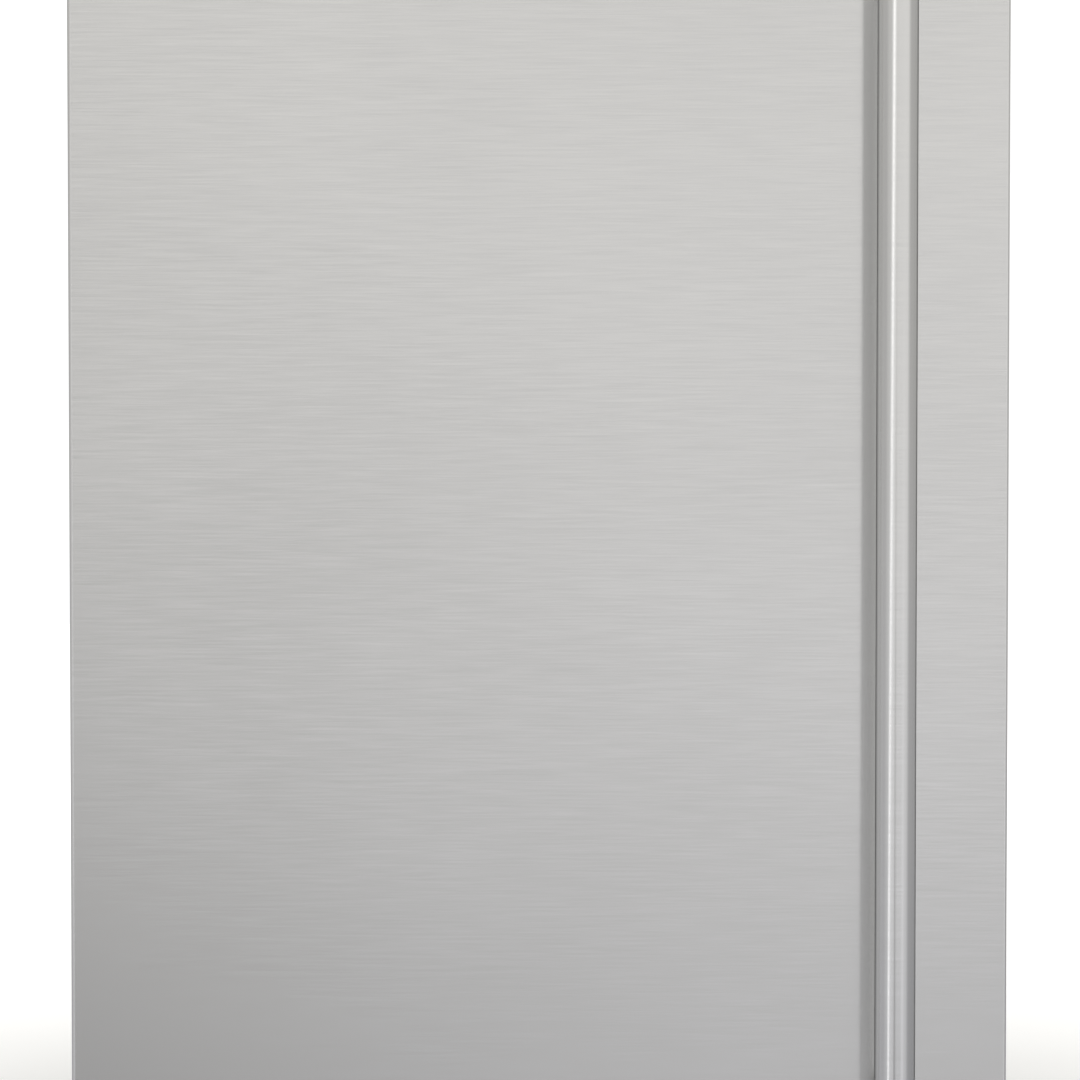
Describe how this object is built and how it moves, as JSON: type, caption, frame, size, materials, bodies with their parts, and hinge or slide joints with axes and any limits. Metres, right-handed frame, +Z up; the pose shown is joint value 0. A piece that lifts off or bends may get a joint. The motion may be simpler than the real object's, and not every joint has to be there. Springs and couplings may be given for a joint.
{
  "type": "undercounter refrigerator",
  "caption": "Undercounter refrigerator in stainless steel with one left-hinged door, a full-length round bar handle, wire shelves, forced-air cooling and levelling feet.",
  "frame": {"origin": "on the floor, under the middle of the whole object's bounding box", "axes": "+Z up; the door faces -Y; +X to the right of somebody who stands in front of the door"},
  "size_m": [0.598, 0.6477, 0.864],
  "materials": {
    "stainless": "brushed stainless steel sheet, horizontal grain",
    "stainless_tube": "polished and brushed stainless steel tube",
    "galvanised": "galvanised steel sheet",
    "black_steel": "black powder coat",
    "zinc": "zinc plated steel",
    "black_plastic": "moulded, fine texture",
    "grey_plastic": "moulded, fine texture",
    "white_plastic": "thermoformed, satin",
    "nylon": "moulded nylon",
    "foam": "rigid polyurethane foam",
    "gasket": "soft extruded vinyl with a magnet strip",
    "rubber": "moulded rubber",
    "shelf_wire": "bright plated wire",
    "lens": "frosted diffuser",
    "copper": "drawn copper tube",
    "coil": "thin fins on tube",
    "black_enamel": "black enamel",
    "motor": "laminated core with windings",
    "board": "white solder mask"
  },
  "bodies": {
    "cabinet": {"side_panel_left": "stainless", "side_panel_right": "stainless", "top_panel": "stainless", "bottom_panel": "galvanised", "rear_panel": "galvanised", "rear_spacers": "black_plastic", "base_pan": "galvanised", "foot_nuts": "zinc", "cabinet_foam": "foam", "inner_liner": "white_plastic", "top_hinge": "zinc", "bottom_hinge": "zinc", "hinge_screws": "zinc", "hinge_cover": "black_plastic", "toe_grille": "black_steel", "machine_cover": "galvanised", "cover_screws": "zinc", "power_inlet": "black_plastic", "control_housing": "white_plastic", "thermostat": "black_plastic", "lamp_board": "board", "lamp_lens": "lens", "door_switch": "black_plastic", "evaporator_cover": "white_plastic", "evaporator_coil": "coil", "evaporator_fan_motor": "motor", "condenser_coil": "coil", "condenser_shroud": "galvanised", "condenser_fan_motor": "motor", "compressor_lower_shell": "black_enamel", "compressor_upper_shell": "black_enamel", "compressor_pump": "motor", "compressor_relay_cover": "black_plastic", "compressor_grommets": "rubber", "compressor_bolts": "zinc", "filter_drier": "copper", "refrigerant_lines": "copper", "drain_tube": "white_plastic", "drain_pan": "black_plastic"},
    "door": {"door_skin": "stainless", "door_end_caps": "black_plastic", "door_foam": "foam", "door_liner": "white_plastic", "door_gasket": "gasket", "hinge_bushes": "nylon", "handle_bar": "stainless_tube", "handle_end_caps": "stainless_tube", "handle_posts": "stainless_tube", "handle_screws": "zinc"},
    "shelf_top": {"shelf_top": "shelf_wire"},
    "shelf_middle": {"shelf_middle": "shelf_wire"},
    "shelf_bottom": {"shelf_bottom": "shelf_wire"},
    "thermostat_knob": {"thermostat_knob": "grey_plastic"},
    "door_switch_plunger": {"door_switch_plunger": "white_plastic"},
    "evaporator_fan": {"evaporator_fan": "black_plastic"},
    "condenser_fan": {"condenser_fan": "black_plastic"},
    "foot_front_left": {"foot_front_left": "black_plastic"},
    "foot_front_right": {"foot_front_right": "black_plastic"},
    "foot_rear_left": {"foot_rear_left": "black_plastic"},
    "foot_rear_right": {"foot_rear_right": "black_plastic"}
  },
  "joints": [
    {"name": "door_hinge", "type": "hinge", "parent": "cabinet", "child": "door", "pos_m": [-0.284, -0.24115, 0.471], "axis": [0, 0, -1], "range_deg": [0, 115]},
    {"name": "door_switch_press", "type": "slide", "parent": "cabinet", "child": "door_switch_plunger", "axis": [0, -1, 0], "range_m": [0, 0.0062]},
    {"name": "shelf_top_slide", "type": "slide", "parent": "cabinet", "child": "shelf_top", "axis": [0, -1, 0], "range_m": [0, 0.022]},
    {"name": "shelf_middle_slide", "type": "slide", "parent": "cabinet", "child": "shelf_middle", "axis": [0, -1, 0], "range_m": [0, 0.022]},
    {"name": "shelf_bottom_slide", "type": "slide", "parent": "cabinet", "child": "shelf_bottom", "axis": [0, -1, 0], "range_m": [0, 0.022]},
    {"name": "thermostat_turn", "type": "hinge", "parent": "cabinet", "child": "thermostat_knob", "pos_m": [-0.082, -0.17315, 0.786], "axis": [0, 1, 0], "range_deg": [0, 270]},
    {"name": "evaporator_fan_spin", "type": "hinge", "parent": "cabinet", "child": "evaporator_fan", "pos_m": [0, 0.22385, 0.722], "axis": [0, 1, 0], "continuous": true},
    {"name": "condenser_fan_spin", "type": "hinge", "parent": "cabinet", "child": "condenser_fan", "pos_m": [-0.155, 0.19485, 0.14], "axis": [0, 1, 0], "continuous": true},
    {"name": "foot_front_left_level", "type": "slide", "parent": "cabinet", "child": "foot_front_left", "axis": [0, 0, -1], "range_m": [-0.01, 0.015]},
    {"name": "foot_front_right_level", "type": "slide", "parent": "cabinet", "child": "foot_front_right", "axis": [0, 0, -1], "range_m": [-0.01, 0.015]},
    {"name": "foot_rear_left_level", "type": "slide", "parent": "cabinet", "child": "foot_rear_left", "axis": [0, 0, -1], "range_m": [-0.01, 0.015]},
    {"name": "foot_rear_right_level", "type": "slide", "parent": "cabinet", "child": "foot_rear_right", "axis": [0, 0, -1], "range_m": [-0.01, 0.015]}
  ],
  "couplings": [
    {"joint": "door_switch_press", "follows": "door_hinge", "m_per_rad": 0.003}
  ]
}
